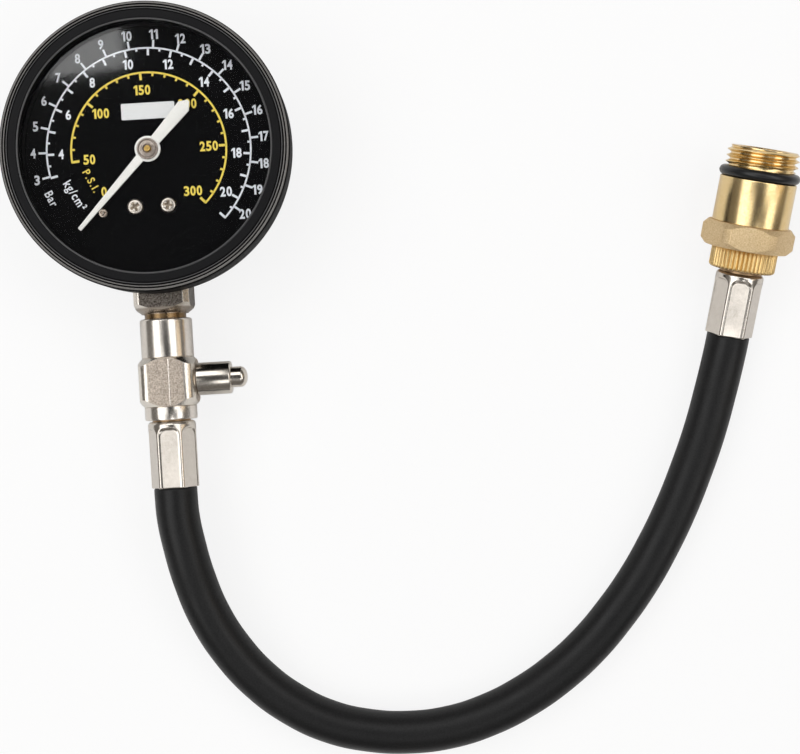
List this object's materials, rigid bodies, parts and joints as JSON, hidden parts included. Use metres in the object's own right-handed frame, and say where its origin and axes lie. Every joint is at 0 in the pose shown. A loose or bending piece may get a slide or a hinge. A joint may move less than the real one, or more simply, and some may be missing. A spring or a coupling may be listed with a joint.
{
  "type": "compression tester gauge",
  "caption": "Round black pressure gauge with a push-button release valve, a short rubber hose and a brass screw-in spark plug adapter.",
  "frame": {"origin": "centre of the gauge case's back face", "axes": "+Z out of the dial, +Y towards the top of the dial, -Y along the stem, +X towards the release button"},
  "size_m": [0.1962, 0.1909, 0.031],
  "materials": {
    "black_case": "satin black enamel",
    "black_bezel": "satin black moulding",
    "clear_window": "clear, glossy",
    "black_rubber": "matt black rubber",
    "dial_black": "matt black printing on aluminium",
    "pointer_white": "satin white paint",
    "nickel": "nickel plated brass, bright",
    "nickel_forged": "nickel plated over a matt forged skin",
    "brass": "turned brass",
    "steel": "zinc plated steel",
    "hose_rubber": "matt black rubber hose"
  },
  "bodies": {
    "root": {"gauge_case": "black_case", "bezel_ring": "black_bezel", "window": "clear_window", "window_gasket": "black_rubber", "dial_plate": "dial_black", "dial_screws": "steel", "dial_posts": "brass", "stop_pin": "brass", "hairspring": "brass", "hairspring_stud": "brass", "back_plate": "brass", "front_plate": "brass", "plate_pillars": "brass", "movement_screws": "steel", "pressure_tube": "brass", "tube_tip_block": "brass", "pressure_socket": "nickel_forged", "case_screws": "steel", "valve_body": "nickel", "release_barrel": "nickel", "release_spring": "steel", "near_nipple": "brass", "near_ferrule": "nickel", "hose": "hose_rubber", "far_ferrule": "nickel", "end_fitting": "brass", "adapter": "brass", "adapter_oring": "black_rubber", "core_barrel": "brass", "core_spring": "steel"},
    "pointer_body": {"pointer": "pointer_white", "pointer_hub": "nickel", "pinion_arbor": "brass"},
    "sector_body": {"sector_gear": "brass", "sector_shaft": "steel"},
    "link_body": {"link": "steel", "link_pins": "brass"},
    "button_body": {"release_button": "nickel", "release_seal": "black_rubber"},
    "core_pin_body": {"core_pin": "brass", "core_seal": "black_rubber"}
  },
  "joints": [
    {"name": "pointer_turn", "type": "hinge", "parent": "root", "child": "pointer_body", "pos_m": [0, 0, 0.0246], "axis": [0, 0, -1], "range_deg": [0, 270], "stiffness_Nm_per_rad": 0.00002, "springref_deg": -11.46},
    {"name": "sector_turn", "type": "hinge", "parent": "root", "child": "sector_body", "pos_m": [0.00047, -0.01349, 0.0168], "axis": [0, 0, 1], "range_deg": [0, 33.75]},
    {"name": "link_swing", "type": "hinge", "parent": "sector_body", "child": "link_body", "pos_m": [-0.00112, -0.01876, 0.0176], "axis": [0, 0, -1], "range_deg": [0, 33.75]},
    {"name": "release_press", "type": "slide", "parent": "root", "child": "button_body", "axis": [-1, 0, 0], "range_m": [0, 0.002], "stiffness_N_per_m": 400, "springref_m": -0.0015, "deforming": ["release_spring"]},
    {"name": "core_press", "type": "slide", "parent": "root", "child": "core_pin_body", "axis": [-0.2034, -0.9568, -0.2079], "range_m": [0, 0.001], "stiffness_N_per_m": 300, "springref_m": -0.001}
  ],
  "couplings": [
    {"joint": "sector_turn", "follows": "pointer_turn", "ratio": 0.125},
    {"joint": "link_swing", "follows": "pointer_turn", "ratio": 0.125}
  ]
}
